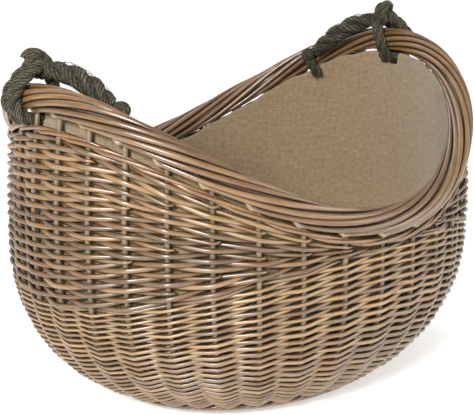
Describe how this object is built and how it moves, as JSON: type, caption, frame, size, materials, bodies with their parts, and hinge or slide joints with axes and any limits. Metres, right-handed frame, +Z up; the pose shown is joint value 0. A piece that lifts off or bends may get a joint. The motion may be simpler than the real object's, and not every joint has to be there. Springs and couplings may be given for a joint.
{
  "type": "log basket",
  "caption": "Oval woven willow basket for logs, with a saddle-shaped rolled rim, a cloth liner and a short swinging rope handle at each high end.",
  "frame": {"origin": "on the floor under the middle of the basket's base", "axes": "+Z up, +X through the two high ends and their handles, -Y towards the front"},
  "size_m": [0.6645, 0.5576, 0.4714],
  "materials": {
    "weaver_willow": "antique-washed willow weavers, satin",
    "stake_willow": "antique-washed willow stakes, satin",
    "border_willow": "antique-washed willow border rods, satin with light streaks",
    "base_willow": "antique-washed willow, base sticks and base weave",
    "hessian": "natural brown hessian, plain weave, matt",
    "rope": "dark olive three-strand rope, matt and slightly hairy"
  },
  "bodies": {
    "root": {"base_stick_long_1": "base_willow", "base_stick_long_2": "base_willow", "base_stick_long_3": "base_willow", "base_stick_long_4": "base_willow", "base_stick_short_1": "base_willow", "base_stick_short_2": "base_willow", "base_stick_short_3": "base_willow", "base_stick_short_4": "base_willow", "base_weave": "base_willow", "foot_wale": "base_willow", "stake_01": "stake_willow", "stake_02": "stake_willow", "stake_03": "stake_willow", "stake_04": "stake_willow", "stake_05": "stake_willow", "stake_06": "stake_willow", "stake_07": "stake_willow", "stake_08": "stake_willow", "stake_09": "stake_willow", "stake_10": "stake_willow", "stake_11": "stake_willow", "stake_12": "stake_willow", "stake_13": "stake_willow", "stake_14": "stake_willow", "stake_15": "stake_willow", "stake_16": "stake_willow", "stake_17": "stake_willow", "stake_18": "stake_willow", "stake_19": "stake_willow", "stake_20": "stake_willow", "stake_21": "stake_willow", "stake_22": "stake_willow", "stake_23": "stake_willow", "stake_24": "stake_willow", "stake_25": "stake_willow", "stake_26": "stake_willow", "stake_27": "stake_willow", "stake_28": "stake_willow", "stake_29": "stake_willow", "stake_30": "stake_willow", "stake_31": "stake_willow", "stake_32": "stake_willow", "stake_33": "stake_willow", "stake_34": "stake_willow", "stake_35": "stake_willow", "stake_36": "stake_willow", "lower_weave": "weaver_willow", "end_weave_left": "weaver_willow", "end_weave_right": "weaver_willow", "top_wale": "weaver_willow", "border": "border_willow", "liner_base": "hessian", "liner_wall": "hessian", "left_high_eye": "rope", "left_low_end": "rope", "right_high_eye": "rope", "right_low_end": "rope"},
    "left_handle": {"left_grip": "rope"},
    "right_handle": {"right_grip": "rope"}
  },
  "joints": [
    {"name": "left_handle_swing", "type": "hinge", "parent": "root", "child": "left_handle", "pos_m": [-0.29504, 0.05327, 0.44788], "axis": [0.2517, -0.9142, -0.3175], "range_deg": [-60, 20]},
    {"name": "right_handle_swing", "type": "hinge", "parent": "root", "child": "right_handle", "pos_m": [0.30092, 0, 0.45292], "axis": [-0.4129, 0.7804, -0.4696], "range_deg": [-60, 20]}
  ]
}
